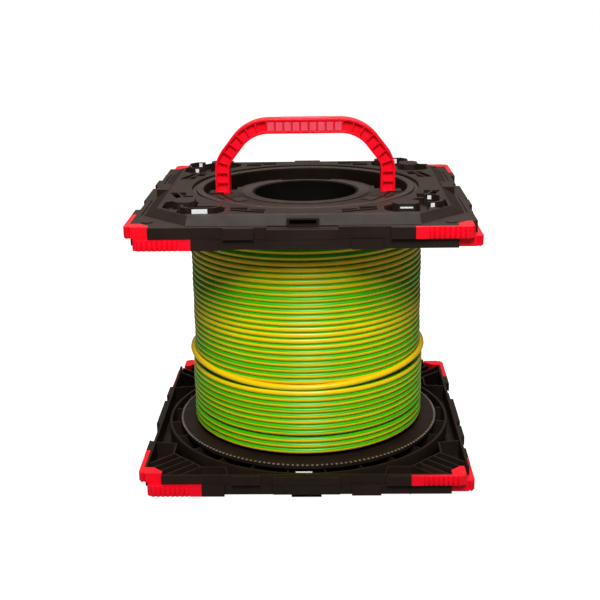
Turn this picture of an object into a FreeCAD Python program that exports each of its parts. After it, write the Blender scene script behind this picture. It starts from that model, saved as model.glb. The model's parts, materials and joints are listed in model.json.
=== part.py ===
import FreeCAD, Part
import math
import os

import Sketcher

# Stackable wire reel: a wire spool turning between two identical square stacking plates,
# with a fold-down carrying handle in its upper hub.
# Millimetres, +Z up, origin on the standing surface below the centre of the spool's bore.

# name, value, what it is
DIMENSIONS = [
    ("body_height", 356.0, "foot tips of the lower plate to boss tips of the upper plate"),
    ("plate_half", 195.0, "half the plate over its recessed side faces"),
    ("lug_depth", 5.5, "how far the interlocking side lugs stand out"),
    ("tab_depth", 4.5, "how far the small guide tabs stand out"),
    ("block_depth", 5.0, "how far the middle side blocks stand out"),
    ("rim_low", 40.5, "plate rim's inner edge, below the boss tips"),
    ("rim_top", 15.5, "plate rim's outer edge, below the boss tips"),
    ("rim_seam", 28.7, "step between the two lug layers, below the boss tips"),
    ("platform_top", 6.0, "raised platform's face, below the boss tips"),
    ("platform_half", 171.0, "half the platform across its flat top"),
    ("platform_corner", 41.0, "length cut from the platform's corners"),
    ("slope_half", 187.0, "half the platform across its foot"),
    ("slope_corner", 56.0, "length cut from the platform's foot corners"),
    ("shell_wall", 3.0, "moulded wall of the plates and the hub caps"),
    ("rib_wall", 2.0, "stiffening ribs"),
    ("ground_depth", 13.5, "sunken ground around the bosses and wells, below the boss tips"),
    ("boss_x", 117.0, "stacking boss and well, smaller offset from the centre"),
    ("boss_y", 139.0, "stacking boss, larger offset from the centre"),
    ("well_x", 144.0, "well, larger offset from the centre"),
    ("guard_radius", 185.7, "ring wall around the spool's flange"),
    ("collar_radius", 139.5, "plate collar that holds the glide ring"),
    ("collar_wall", 6.5, "wall of that collar"),
    ("ring_seat_radius", 143.0, "recess for the retaining ring"),
    ("glide_radius", 137.0, "bore of the glide ring"),
    ("running_gap", 0.1, "radial running clearance"),
    ("side_gap", 0.3, "clearance beside moving faces"),
    ("ring_radius", 142.2, "retaining ring, outer radius"),
    ("ring_crown", 137.8, "retaining ring, outer radius of its raised part"),
    ("ring_step", 9.4, "retaining ring's step, below the boss tips"),
    ("ring_top", 7.0, "retaining ring's face, below the boss tips"),
    ("ring_under", 10.7, "retaining ring's underside, below the boss tips"),
    ("screw_circle", 133.0, "radius of the retaining ring's screws"),
    ("screw_count", 12, "screws in each retaining ring"),
    ("flange_radius", 170.5, "spool flange"),
    ("flange_thickness", 4.0, "spool flange"),
    ("flange_face", 40.4, "flange's wire-side face, below the boss tips"),
    ("flange_bore", 126.0, "hole in the flange below the hub cap"),
    ("recess_radius", 128.4, "recess that the hub cap and the folded handle sit in"),
    ("barrel_radius", 127.6, "winding barrel, outside"),
    ("barrel_wall", 2.6, "winding barrel's wall"),
    ("core_radius", 64.4, "bore through the whole reel"),
    ("core_wall", 3.0, "core tube's wall"),
    ("hub_floor", 14.0, "hub cap's face, below the boss tips"),
    ("channel_floor", 34.0, "floor of the handle's channel, below the boss tips"),
    ("channel_front", 13.2, "front wall of the handle's channel, from the centre"),
    ("island_side", 88.0, "hub island's radius, and its half width beside the bore"),
    ("island_back", 73.5, "hub island's edge behind the bore"),
    ("island_shoulder", 28.0, "hub island is straight-sided up to here"),
    ("pivot_drop", 21.0, "handle pivot, below the boss tips"),
    ("pin_radius", 4.0, "handle pivot pin"),
    ("handle_half", 112.7, "half the handle's width"),
    ("handle_band", 17.8, "handle band seen from the front"),
    ("handle_depth", 25.0, "handle band from front to back"),
    ("handle_reach", 99.0, "handle pivot to the top of the grip"),
    ("handle_elbow", 48.8, "pivot to where the outer lines of a leg would meet"),
    ("handle_bend", 37.0, "outer radius of the bend there"),
    ("handle_lean", 38.0, "degrees that the legs lean in above that bend"),
    ("handle_shoulder", 58.8, "outer radius of the shoulders beside the grip"),
    ("handle_flange", 2.6, "edge flange of the handle's band"),
    ("handle_web", 13.0, "middle web of the handle's band"),
    ("wire_thickness", 7.3, "insulated wire"),
    ("wire_layer", 6.32, "radial pitch of the nested layers"),
    ("wire_swell", 3.0, "extra build-up of the lower turns"),
    ("wire_step", 130.0, "height where the build-up ends"),
    ("tie_circle", 105.0, "radius of the tie rods"),
    ("tie_radius", 3.0, "tie rod"),
]


class Size:
    """A number together with the sheet expression that it comes from."""

    def __init__(self, value, text):
        self.value = value
        self.text = text

    def __add__(self, other):
        return joined(self, "+", other)

    def __radd__(self, other):
        return joined(other, "+", self)

    def __sub__(self, other):
        return joined(self, "-", other)

    def __rsub__(self, other):
        return joined(other, "-", self)

    def __mul__(self, other):
        return joined(self, "*", other)

    def __rmul__(self, other):
        return joined(other, "*", self)

    def __truediv__(self, other):
        return joined(self, "/", other)

    def __neg__(self):
        return Size(-self.value, "(-" + self.text + ")")


def as_size(amount):
    if isinstance(amount, Size):
        return amount
    return Size(amount, "(" + str(amount) + ")")


def joined(left, sign, right):
    first = as_size(left)
    second = as_size(right)
    results = {
        "+": first.value + second.value,
        "-": first.value - second.value,
        "*": first.value * second.value,
    }
    value = first.value / second.value if sign == "/" else results[sign]
    return Size(value, "(" + first.text + " " + sign + " " + second.text + ")")


doc = FreeCAD.newDocument("wire_reel")
sheet = doc.addObject("Spreadsheet::Sheet", "dims")
for row, (alias, number, note) in enumerate(DIMENSIONS, start=1):
    sheet.set("A" + str(row), note)
    sheet.set("B" + str(row), str(number))
    sheet.setAlias("B" + str(row), alias)
doc.recompute()

DIM = {alias: Size(float(number), "dims." + alias) for alias, number, note in DIMENSIONS}

Z_AXIS = FreeCAD.Vector(0, 0, 1)
Y_AXIS = FreeCAD.Vector(0, 1, 0)
X_AXIS = FreeCAD.Vector(1, 0, 0)
QUARTERS = range(4)
PAST = 5.0  # how far a cutting tool runs past the face that it opens
nodes = []


# ---------------------------------------------------------------- helpers

def bind(item, name, amount):
    """Drive one property of an object from the sheet."""
    item.setExpression(name, as_size(amount).text)


def turned_point(x, y, quarter):
    """A point turned by quarter turns about the reel's axis."""
    for _ in range(quarter):
        x, y = -as_size(y), x
    return x, y


def place(item, x, y, z, axis=Z_AXIS, angle=0.0):
    """Set an object's turn and drive its position from the sheet."""
    item.Placement = FreeCAD.Placement(FreeCAD.Vector(), FreeCAD.Rotation(axis, angle))
    bind(item, "Placement.Base.x", x)
    bind(item, "Placement.Base.y", y)
    bind(item, "Placement.Base.z", z)


def box(low, high, quarter=0):
    """A block between two corners, turned by quarter turns about the reel's axis."""
    item = doc.addObject("Part::Box", "block")
    for side, start, end in zip(("Length", "Width", "Height"), low, high):
        bind(item, side, as_size(end) - start)
    x, y = turned_point(low[0], low[1], quarter)
    place(item, x, y, low[2], angle=90.0 * quarter)
    return item


def cylinder(radius, bottom, top, x=0.0, y=0.0, quarter=0):
    """An upright cylinder."""
    item = doc.addObject("Part::Cylinder", "round")
    bind(item, "Radius", radius)
    bind(item, "Height", as_size(top) - bottom)
    x, y = turned_point(x, y, quarter)
    place(item, x, y, bottom)
    return item


def cross_cylinder(radius, left, right, y, z):
    """A cylinder lying along X."""
    item = doc.addObject("Part::Cylinder", "cross_round")
    bind(item, "Radius", radius)
    bind(item, "Height", as_size(right) - left)
    place(item, left, y, z, axis=Y_AXIS, angle=90.0)
    return item


def polygon(sketch, points):
    """A closed outline whose corners are all driven from the sheet."""
    first = sketch.GeometryCount
    count = len(points)
    spots = [FreeCAD.Vector(as_size(x).value, as_size(y).value, 0) for x, y in points]
    for number in range(count):
        line = Part.LineSegment(spots[number], spots[(number + 1) % count])
        sketch.addGeometry(line, False)
    for number in range(count):
        following = first + (number + 1) % count
        sketch.addConstraint(Sketcher.Constraint("Coincident", first + number, 2, following, 1))
    for number, point in enumerate(points):
        for kind, amount in zip(("DistanceX", "DistanceY"), point):
            size = as_size(amount)
            label = "corner" + str(sketch.ConstraintCount)
            rule = Sketcher.Constraint(kind, -1, 1, first + number, 1, size.value)
            index = sketch.addConstraint(rule)
            sketch.renameConstraint(index, label)
            sketch.setExpression("Constraints." + label, size.text)


def prism(points, bottom, top, quarter=0):
    """An upright prism of one or more polygons."""
    sketch = doc.addObject("Sketcher::SketchObject", "outline")
    outlines = points if isinstance(points[0][0], tuple) else [points]
    for outline in outlines:
        polygon(sketch, outline)
    item = doc.addObject("Part::Extrusion", "prism")
    item.Base = sketch
    item.DirMode = "Custom"
    item.Dir = Z_AXIS
    item.Solid = True
    bind(item, "LengthFwd", as_size(top) - bottom)
    place(item, 0, 0, bottom, angle=90.0 * quarter)
    return item


def octagon(half, corner):
    """A square outline with its corners cut off."""
    rest = half - corner
    return [
        (half, -rest), (half, rest), (rest, half), (-rest, half),
        (-half, rest), (-half, -rest), (-rest, -half), (rest, -half),
    ]


def loft(sections):
    """A solid with flat sides between outlines given as (points, height)."""
    sketches = []
    for points, height in sections:
        sketch = doc.addObject("Sketcher::SketchObject", "section")
        polygon(sketch, points)
        place(sketch, 0, 0, height)
        sketches.append(sketch)
    item = doc.addObject("Part::Loft", "loft")
    item.Sections = sketches
    item.Solid = True
    item.Ruled = True
    return item


def fuse(*items):
    item = doc.addObject("Part::MultiFuse", "joined")
    item.Shapes = list(items)
    return item


def cut(base, *tools):
    item = doc.addObject("Part::Cut", "cut")
    item.Base = base
    item.Tool = tools[0] if len(tools) == 1 else fuse(*tools)
    return item


def common(base, tool):
    item = doc.addObject("Part::Common", "shared")
    item.Base = base
    item.Tool = tool
    return item


def tube(outer, inner, bottom, top):
    return cut(cylinder(outer, bottom, top), cylinder(inner, bottom - PAST, top + PAST))


def origin_plane(body, role):
    return next(item for item in body.Origin.OriginFeatures if item.Role == role)


def new_body(name):
    return doc.addObject("PartDesign::Body", name)


def sketch_on(body, role, height=0.0):
    sketch = body.newObject("Sketcher::SketchObject", "profile")
    sketch.AttachmentSupport = [(origin_plane(body, role), "")]
    sketch.MapMode = "FlatFace"
    bind(sketch, "AttachmentOffset.Base.z", height)
    return sketch


def turned_body(name, profile):
    """A ring turned about the reel's axis from an outline of (radius, height) corners."""
    body = new_body(name)
    sketch = sketch_on(body, "XZ_Plane")
    polygon(sketch, profile)
    turn = body.newObject("PartDesign::Revolution", "turn")
    turn.Profile = sketch
    turn.ReferenceAxis = (sketch, ["V_Axis"])
    turn.Angle = 360.0
    body.Tip = turn
    return body


def circle(sketch, radius, x=0.0, y=0.0):
    """A circle whose radius and centre are driven from the sheet."""
    spot = FreeCAD.Vector(as_size(x).value, as_size(y).value, 0)
    shape = Part.Circle(spot, Z_AXIS, as_size(radius).value)
    index = sketch.addGeometry(shape, False)
    rules = [("Radius", (index,), radius)]
    if spot.Length > 0:
        rules.append(("DistanceX", (-1, 1, index, 3), x))
        rules.append(("DistanceY", (-1, 1, index, 3), y))
    else:
        sketch.addConstraint(Sketcher.Constraint("Coincident", index, 3, -1, 1))
    for kind, where, amount in rules:
        size = as_size(amount)
        label = "round" + str(sketch.ConstraintCount)
        number = sketch.addConstraint(Sketcher.Constraint(kind, *where, size.value))
        sketch.renameConstraint(number, label)
        sketch.setExpression("Constraints." + label, size.text)


def padded_body(name, circles, bottom, top):
    """A plate or tube padded from circles given as (radius, x, y)."""
    body = new_body(name)
    sketch = sketch_on(body, "XY_Plane", bottom)
    for radius, x, y in circles:
        circle(sketch, radius, x, y)
    pad = body.newObject("PartDesign::Pad", "pad")
    pad.Profile = sketch
    bind(pad, "Length", as_size(top) - bottom)
    body.Tip = pad
    return body


def keep(item, name, end=None):
    """Name a finished sub-part and set it at its end of the reel.

    Paired pieces are drawn downwards from the plane of the upper boss tips. The upper one
    is lifted there, and the lower one is turned over about Y at the standing surface.
    """
    item.Label = name
    if end == "top":
        place(item, 0, 0, DIM["body_height"])
    if end == "base":
        place(item, 0, 0, 0, axis=Y_AXIS, angle=180.0)
    nodes.append(item)

# ---------------------------------------------------------------- stacking plates

HALF = DIM["plate_half"]
FACE = HALF + DIM["lug_depth"]
RIM_LOW = -DIM["rim_low"]
RIM_TOP = -DIM["rim_top"]
SEAM = -DIM["rim_seam"]
PLATFORM = -DIM["platform_top"]
FLOOR = -DIM["ground_depth"]
RAISED = -0.5  # top of the walls around the wells
WALL = DIM["shell_wall"]
WEB_UNDER = PLATFORM - WALL
RIM_UNDER = RIM_TOP - WALL
RIB = DIM["rib_wall"]
RIB_LOW = RIM_LOW + 3.0
COLLAR_LOW = -33.0
LEDGE = -DIM["ring_under"] - DIM["side_gap"]
BEVEL = 3.0
LUG_END = 97.0  # the lugs start this far from the middle of a side
RED_END = 124.0  # turn into the corner bumper here
LUG_TIP = 189.0  # and end here
CORNER_IN = 172.0  # the bumper's corner block starts here
FLUTE_FIRST = 141.5
FLUTE_PITCH = 5.7
FLUTE_RADIUS = 3.0
FLUTE_COUNT = 8
FENCE_DIAGONAL = 291.0  # x - y of the slanting wall that closes off a corner's ribs
FENCE_NEAR = 126.0
SPOKE_COUNT = 24
SLOPE_FOOT = -187.0
GUTTER = -189.2  # outer edge of the drain groove along the slope's foot
BOSS_X = DIM["boss_x"]
BOSS_Y = -DIM["boss_y"]
WELL_X = DIM["well_x"]
WELL_Y = -DIM["boss_x"]
BAR_BACK = -149.7  # bottom of the slot in a boss


def stretched(x, y, half_x, half_y, corner, quarter=0):
    """A rectangle's outline with its corners cut off, turned by quarter turns."""
    left, right, low, high = x - half_x, x + half_x, y - half_y, y + half_y
    corners = [
        (right, low + corner), (right, high - corner), (right - corner, high), (left + corner, high),
        (left, high - corner), (left, low + corner), (left + corner, low), (right - corner, low),
    ]
    return [turned_point(across, along, quarter) for across, along in corners]


def corner_block(right, front):
    """Plan of one layer of the bumper's corner block, out to two faces."""
    middle = (CORNER_IN + HALF) / 2
    return [
        (CORNER_IN, -front), (right - BEVEL, -front), (right, BEVEL - front),
        (right, -CORNER_IN), (middle, -CORNER_IN), (CORNER_IN, -middle),
    ]


def corner_notch():
    """Plan of the notch in the plate's corner that the block fills, open to the outside."""
    middle = (CORNER_IN + HALF) / 2
    past = HALF + PAST
    return [
        (CORNER_IN, -past), (past, -past), (past, -CORNER_IN),
        (middle, -CORNER_IN), (CORNER_IN, -middle),
    ]


def side_lugs(quarter):
    """The black interlocking lugs, guide tabs and middle block of one side."""
    tab_face = HALF + DIM["tab_depth"]
    block_face = HALF + DIM["block_depth"]
    low_lug = [
        (-RED_END, -HALF), (-RED_END, -FACE), (BEVEL - LUG_END, -FACE),
        (-LUG_END, BEVEL - FACE), (-LUG_END, -HALF),
    ]
    return [
        box((LUG_END, -FACE, SEAM), (RED_END, -HALF, RIM_TOP), quarter),
        prism(low_lug, RIM_LOW, SEAM, quarter),
        box((-88.5, -tab_face, SEAM), (-54.0, -HALF, RIM_TOP - 0.3), quarter),
        box((54.0, -tab_face, RIM_LOW), (88.5, -HALF, SEAM), quarter),
        box((-40.0, -block_face, RIM_LOW + 1.0), (39.0, -HALF, RIM_TOP - 2.0), quarter),
        box((-RED_END, -HALF - 1.0, RIM_LOW), (1.5 - RED_END, -HALF, RIM_TOP), quarter),
    ]


def corner_ribs():
    """Plans of the diagonal ribs under the front right corner, from the fence to the rim."""
    half_rib = RIB / 2
    diagonal = math.sqrt(0.5)
    near = FENCE_DIAGONAL * diagonal
    ribs = []
    for offset in (-26.0, -13.0, 0.0, 13.0, 26.0):
        far = (HALF - 1.0) / diagonal - abs(offset) - 2.0
        corners = []
        for across, along in ((-1, near), (1, near), (1, far), (-1, far)):
            side = offset + half_rib * across
            corners.append(((side + along) * diagonal, (side - along) * diagonal))
        ribs.append(corners)
    return ribs


def corner_fence():
    """Plan of the wall that closes the corner ribs off from the guard ring."""
    reach = FENCE_DIAGONAL - FENCE_NEAR
    start = 1.0 - HALF
    slanting = FENCE_NEAR + RIB * 0.4
    return [
        (HALF - 1.0, -92.0), (reach, -97.0), (reach, -FENCE_NEAR),
        (FENCE_NEAR, -reach), (97.0, -reach), (92.0, start), (92.0 + RIB, start),
        (98.5, -reach - RIB), (slanting, -reach - RIB),
        (reach + RIB, -slanting), (reach + RIB, -98.5), (HALF - 1.0, -92.0 - RIB),
    ]


def spokes():
    """Plans of the ribs from the bearing collar to the guard ring."""
    inner = DIM["collar_radius"] + DIM["collar_wall"] - 1.0
    outer = DIM["guard_radius"] - 1.0
    outlines = []
    for number in range(SPOKE_COUNT):
        angle = math.radians(360.0 / SPOKE_COUNT * (number + 0.5))
        cosine, sine = math.cos(angle), math.sin(angle)
        corners = []
        for radius, side in ((inner, -1.0), (outer, -1.0), (outer, 1.0), (inner, 1.0)):
            corners.append((radius * cosine - side * sine, radius * sine + side * cosine))
        outlines.append(corners)
    return outlines


def side_slots(mirror):
    """Outlines of the three slots beside the middle of one side."""
    slots = [
        [(44.0, -166.0), (84.0, -152.0), (84.0, -144.5), (44.0, -157.5)],
        [(43.5, -146.5), (61.0, -143.5), (61.0, -149.5), (43.5, -155.0)],
        [(64.0, -135.0), (84.0, -134.0), (84.0, -142.0), (64.0, -148.5)],
    ]
    return [[(mirror * x, y) for x, y in slot] for slot in slots]


def sunken_ground(grow, low, high, quarter):
    """The lowered ground around one stacking boss and the well beside it."""
    boss_ground = stretched(BOSS_X, BOSS_Y - 5.0, 25.0 + grow, 20.0 + grow, 10.0, quarter)
    well_ground = stretched(WELL_X + 1.0, WELL_Y, 21.0 + grow, 27.0 + grow, 10.0, quarter)
    return [prism(boss_ground, low, high), prism(well_ground, low, high)]


def plate_outside():
    """The plate's outer shape with its lugs and pads."""
    rim = box((-HALF, -HALF, RIM_LOW), (HALF, HALF, RIM_TOP))
    edge = DIM["platform_half"]
    edge_corner = DIM["platform_corner"]
    platform = loft([
        (octagon(DIM["slope_half"], DIM["slope_corner"]), RIM_TOP - 1.0),
        (octagon(edge, edge_corner), PLATFORM - 1.0),
    ])
    platform_edge = loft([
        (octagon(edge, edge_corner), PLATFORM - 1.0),
        (octagon(edge - 2.0, edge_corner - 1.0), PLATFORM),
    ])
    solids = [rim, platform, platform_edge]
    for quarter in QUARTERS:
        solids += side_lugs(quarter)
        solids.append(box((-18.0, 0.5 + SLOPE_FOOT, RIM_UNDER), (18.0, -171.0, PLATFORM - 1.5), quarter))
        pad_x, pad_y = turned_point(165.0, -176.0, quarter)
        solids.append(cylinder(6.5, RIM_TOP - 1.0, RIM_TOP + 1.2, pad_x, pad_y))
    return fuse(*solids)


def plate_hollow():
    """The space below the plate's webs, open towards the spool."""
    inside = HALF - WALL
    rim = box((-inside, -inside, RIM_LOW - PAST), (inside, inside, RIM_UNDER))
    under = loft([
        (octagon(DIM["slope_half"] - WALL, DIM["slope_corner"]), RIM_UNDER - 1.0),
        (octagon(DIM["platform_half"] - WALL, DIM["platform_corner"]), WEB_UNDER),
    ])
    return fuse(rim, under)


def plate_stiffeners():
    """Guard ring, bearing collar, sunken ground's underside and ribs."""
    guard = DIM["guard_radius"]
    collar = DIM["collar_radius"]
    items = [
        tube(guard, guard - WALL, RIB_LOW, RIM_UNDER + 1.0),
        tube(collar + DIM["collar_wall"], collar, COLLAR_LOW, PLATFORM),
        prism(spokes(), COLLAR_LOW - 1.5, WEB_UNDER + 1.0),
    ]
    for quarter in QUARTERS:
        items += sunken_ground(WALL, FLOOR - WALL, WEB_UNDER + 1.0, quarter)
        items.append(prism(corner_ribs(), RIB_LOW, RIM_UNDER + 1.0, quarter))
        items.append(prism(corner_fence(), RIB_LOW, RIM_UNDER + 1.0, quarter))
    return fuse(*items)


def plate_envelope():
    """The plate's outside without its lugs, which trims the stiffeners."""
    rim = box((1.0 - HALF, 1.0 - HALF, RIM_LOW), (HALF - 1.0, HALF - 1.0, RIM_TOP - 1.0))
    slope = loft([
        (octagon(DIM["slope_half"] - 1.0, DIM["slope_corner"]), RIM_TOP - 2.0),
        (octagon(DIM["platform_half"] - 1.0, DIM["platform_corner"]), PLATFORM),
    ])
    return fuse(rim, slope)


def seam_grooves(quarter):
    """Thin groove between the two lug layers, along one side and over its middle block."""
    low = SEAM - 0.6
    block_face = HALF + DIM["block_depth"]
    return [
        box((-LUG_END, -HALF - PAST, low), (-40.0, 0.5 - HALF, SEAM), quarter),
        box((-40.0, -HALF - PAST * 2, low), (39.0, 0.5 - block_face, SEAM), quarter),
        box((39.0, -HALF - PAST, low), (LUG_END, 0.5 - HALF, SEAM), quarter),
    ]


def plate_openings():
    """Everything cut through the plate before its bosses are added."""
    tools = [
        cylinder(DIM["ring_seat_radius"], LEDGE, PAST),
        cylinder(DIM["collar_radius"], RIM_LOW - PAST, PAST),
    ]
    for quarter in QUARTERS:
        tools += sunken_ground(0.0, FLOOR, PAST, quarter)
        tools.append(prism(side_slots(1) + side_slots(-1), WEB_UNDER - PAST, PAST, quarter))
        tools.append(box((-15.0, -HALF - 1.0, RIM_TOP + 0.5), (15.0, -174.0, PLATFORM - 3.5), quarter))
        tools.append(box((-40.0, -HALF - PAST, RIM_TOP - 1.5), (39.0, GUTTER, RIM_TOP + 0.2), quarter))
        tools.append(box((-130.0, GUTTER, RIM_TOP - 1.5), (130.0, SLOPE_FOOT, RIM_TOP + 0.2), quarter))
        tools.append(prism(corner_notch(), RIM_LOW - PAST, PAST, quarter))
        tools += seam_grooves(quarter)
    return fuse(*tools)


def stacking_boss(quarter):
    """Boss that stands in the sunken ground and drops into the next reel's well."""
    return loft([
        (stretched(BOSS_X, BOSS_Y, 16.5, 13.7, 7.0, quarter), FLOOR - 1.0),
        (stretched(BOSS_X, BOSS_Y, 15.0, 12.2, 6.0, quarter), 0.0),
    ])


def well_wall(quarter):
    """Wall around three sides of a well, open towards the reel's axis."""
    outside = prism(stretched(WELL_X, WELL_Y, 17.0, 23.0, 8.0), FLOOR - 1.0, RAISED, quarter)
    inside = prism(stretched(WELL_X, WELL_Y, 14.4, 20.4, 6.8), FLOOR - 2.0, PAST, quarter)
    mouth = box((WELL_X - 20.0, WELL_Y - 30.0, FLOOR - 2.0), (WELL_X - 3.0, WELL_Y + 30.0, PAST), quarter)
    return cut(outside, inside, mouth)


def boss_cuts(quarter):
    """Hollow under a boss, the slot in its front, and the windows in the well's wall."""
    return [
        prism(stretched(BOSS_X, BOSS_Y, 12.0, 9.2, 4.0), FLOOR - WALL - 1.0, -3.0, quarter),
        box((BOSS_X - 7.3, -160.0, -5.4), (BOSS_X + 7.3, BAR_BACK, -3.0), quarter),
        box((157.5, WELL_Y - 9.0, -8.4), (162.0, WELL_Y + 9.0, -1.6), quarter),
        box((145.3, WELL_Y - 25.0, -6.6), (149.9, WELL_Y + 25.0, -1.2), quarter),
    ]


def dock_inserts(quarter):
    """Pale plates that fill the windows of a well's wall, and the bar in a boss."""
    return [
        box((BOSS_X - 7.3, BAR_BACK - 1.2, -5.4), (BOSS_X + 7.3, BAR_BACK, -3.0), quarter),
        box((158.8, WELL_Y - 9.0, -8.4), (160.6, WELL_Y + 9.0, -1.6), quarter),
        box((145.3, WELL_Y - 22.2, -6.6), (149.9, WELL_Y - 21.2, -1.2), quarter),
        box((145.3, WELL_Y + 21.2, -6.6), (149.9, WELL_Y + 22.2, -1.2), quarter),
    ]


def stacking_plate(end):
    """One square plate in a single moulding."""
    shell = cut(plate_outside(), plate_hollow())
    stiffeners = common(plate_stiffeners(), plate_envelope())
    plate = cut(fuse(shell, stiffeners), plate_openings())
    bosses = [stacking_boss(quarter) for quarter in QUARTERS]
    walls = [well_wall(quarter) for quarter in QUARTERS]
    cuts = [tool for quarter in QUARTERS for tool in boss_cuts(quarter)]
    keep(cut(fuse(plate, *bosses, *walls), *cuts), end + "_plate", end)


def corner_bumper(end, quarter, name):
    """Red corner: upright block, fluted upper lug in front, fluted lower lug beside it."""
    skin = FACE - 2.0
    smooth_end = RED_END + 14.0
    upper_lug = [
        (RED_END, -HALF), (RED_END, -FACE), (smooth_end, -FACE), (smooth_end, -skin),
        (LUG_TIP - BEVEL, -skin), (LUG_TIP, BEVEL - skin), (LUG_TIP, -HALF),
    ]
    lower_lug = [(-y, -x) for x, y in reversed(upper_lug)]
    flutes = []
    ridge = FACE - FLUTE_RADIUS
    for number in range(FLUTE_COUNT):
        spot_along = FLUTE_FIRST + number * FLUTE_PITCH
        flutes.append(cylinder(FLUTE_RADIUS, SEAM, RIM_TOP, spot_along, -ridge, quarter))
        flutes.append(cylinder(FLUTE_RADIUS, RIM_LOW, SEAM, ridge, -spot_along, quarter))
    plate_box = box((-HALF, -HALF, RIM_LOW - PAST), (HALF, HALF, PAST))
    pieces = [
        prism(corner_block(as_size(LUG_TIP), HALF), SEAM, RIM_TOP, quarter),
        prism(corner_block(HALF, as_size(LUG_TIP)), RIM_LOW, SEAM, quarter),
        prism(upper_lug, SEAM, RIM_TOP, quarter),
        prism(lower_lug, RIM_LOW, SEAM, quarter),
        cut(fuse(*flutes), plate_box),
    ]
    keep(fuse(*pieces), end + "_bumper_" + name, end)


def plate_set(end):
    """One stacking plate with its bumpers, well inserts and glide ring."""
    stacking_plate(end)
    for quarter, name in zip(QUARTERS, ("a", "b", "c", "d")):
        corner_bumper(end, quarter, name)
    inserts = [piece for quarter in QUARTERS for piece in dock_inserts(quarter)]
    keep(fuse(*inserts), end + "_dock_inserts", end)
    bore = DIM["glide_radius"]
    collar = DIM["collar_radius"]
    lip = COLLAR_LOW - 3.0
    lip_edge = collar + DIM["collar_wall"] - 1.5
    keep(turned_body("glide", [
        (bore, LEDGE), (bore, lip), (lip_edge, lip),
        (lip_edge, COLLAR_LOW), (collar, COLLAR_LOW), (collar, LEDGE),
    ]), end + "_glide_ring", end)


# ---------------------------------------------------------------- spool

FLANGE_OUT = DIM["flange_thickness"] - DIM["flange_face"]
FLANGE_IN = -DIM["flange_face"]
JOURNAL = DIM["glide_radius"] - DIM["running_gap"]
BARREL = DIM["barrel_radius"]
BARREL_IN = BARREL - DIM["barrel_wall"]
RECESS = DIM["recess_radius"]
CORE_OUT = DIM["core_radius"] + DIM["core_wall"]
RING_UNDER = -DIM["ring_under"]
RING_TOP = -DIM["ring_top"]
HUB = -DIM["hub_floor"]
CHANNEL = -DIM["channel_floor"]
CHANNEL_FRONT = -DIM["channel_front"]
PIVOT = -DIM["pivot_drop"]
SCREW_RADIUS = 1.5
SCREW_HEAD = 2.9
SCREW_LENGTH = 16.0
SPIGOT_DEPTH = 7.0  # how far the hub caps reach into the barrel
LEG_OUT = DIM["handle_half"]
LEG_IN = LEG_OUT - DIM["handle_band"]
BOSS_LOW = -62.0
SIDES = {"upper": "top", "lower": "base"}


def flange(end):
    """Flange disc, with the journal wall that the plate's glide ring runs on."""
    edge = DIM["flange_radius"]
    bore = DIM["flange_bore"]
    disc = turned_body("flange_turning", [
        (bore, FLANGE_IN), (edge, FLANGE_IN), (edge, FLANGE_OUT), (JOURNAL, FLANGE_OUT),
        (JOURNAL, RING_UNDER), (RECESS, RING_UNDER), (RECESS, FLANGE_OUT), (bore, FLANGE_OUT),
    ])
    keep(cut(disc, *screw_shanks(SCREW_RADIUS)), end + "_flange", SIDES[end])


def on_screw_circle(number):
    """Centre of one retaining ring screw."""
    angle = as_size(number) * 360.0 / DIM["screw_count"] + 7.5
    turn = math.radians(angle.value)
    radius = DIM["screw_circle"]
    cosine = Size(math.cos(turn), "cos(" + angle.text + " * 1deg)")
    sine = Size(math.sin(turn), "sin(" + angle.text + " * 1deg)")
    return radius * cosine, radius * sine


def screw_spots():
    return [on_screw_circle(number) for number in range(int(DIM["screw_count"].value))]


def screw_shanks(radius):
    """The screws' holes, as solids."""
    return [cylinder(radius, RING_UNDER - SCREW_LENGTH, PAST, x, y) for x, y in screw_spots()]


def retaining_ring(end):
    """Stepped ring screwed on the journal wall, which holds the plate on the spool."""
    edge = DIM["ring_radius"]
    crown = DIM["ring_crown"]
    step = -DIM["ring_step"]
    ring = turned_body("ring_turning", [
        (RECESS, RING_UNDER), (edge, RING_UNDER), (edge, step), (crown, step),
        (crown, RING_TOP - 0.5), (crown - 0.5, RING_TOP), (RECESS + 1.0, RING_TOP), (RECESS, RING_TOP - 1.0),
    ])
    heads = [cylinder(SCREW_HEAD, RING_TOP - 1.6, PAST, x, y) for x, y in screw_spots()]
    tools = screw_shanks(SCREW_RADIUS) + heads
    keep(cut(ring, *tools), end + "_retaining_ring", SIDES[end])


def ring_screws(end):
    """Small screws of a retaining ring, in one node."""
    screws = []
    for x, y in screw_spots():
        shank = cylinder(SCREW_RADIUS, RING_UNDER - SCREW_LENGTH, RING_TOP - 1.6, x, y)
        head = cylinder(SCREW_HEAD, RING_TOP - 1.6, RING_TOP - 0.4, x, y)
        drive = cylinder(1.0, RING_TOP - 1.2, RING_TOP, x, y)
        screws.append(cut(fuse(shank, head), drive))
    keep(fuse(*screws), end + "_ring_screws", SIDES[end])


def tie_spots():
    """Centres of the tie rods, on the diagonals."""
    reach = DIM["tie_circle"] * math.sqrt(0.5)
    return [(reach, -reach), (reach, reach), (-reach, reach), (-reach, -reach)]


def island(shrink, low, high):
    """Hub island between the handle's channels, less a margin."""
    side = DIM["island_side"] - shrink
    back = DIM["island_back"] - shrink
    shoulder = DIM["island_shoulder"] - shrink
    front = CHANNEL_FRONT - PAST
    rounded = common(cylinder(side, low, high), box((-side, front, low), (side, back, high)))
    return fuse(rounded, box((-side, front, low), (side, shoulder, high)))


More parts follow.
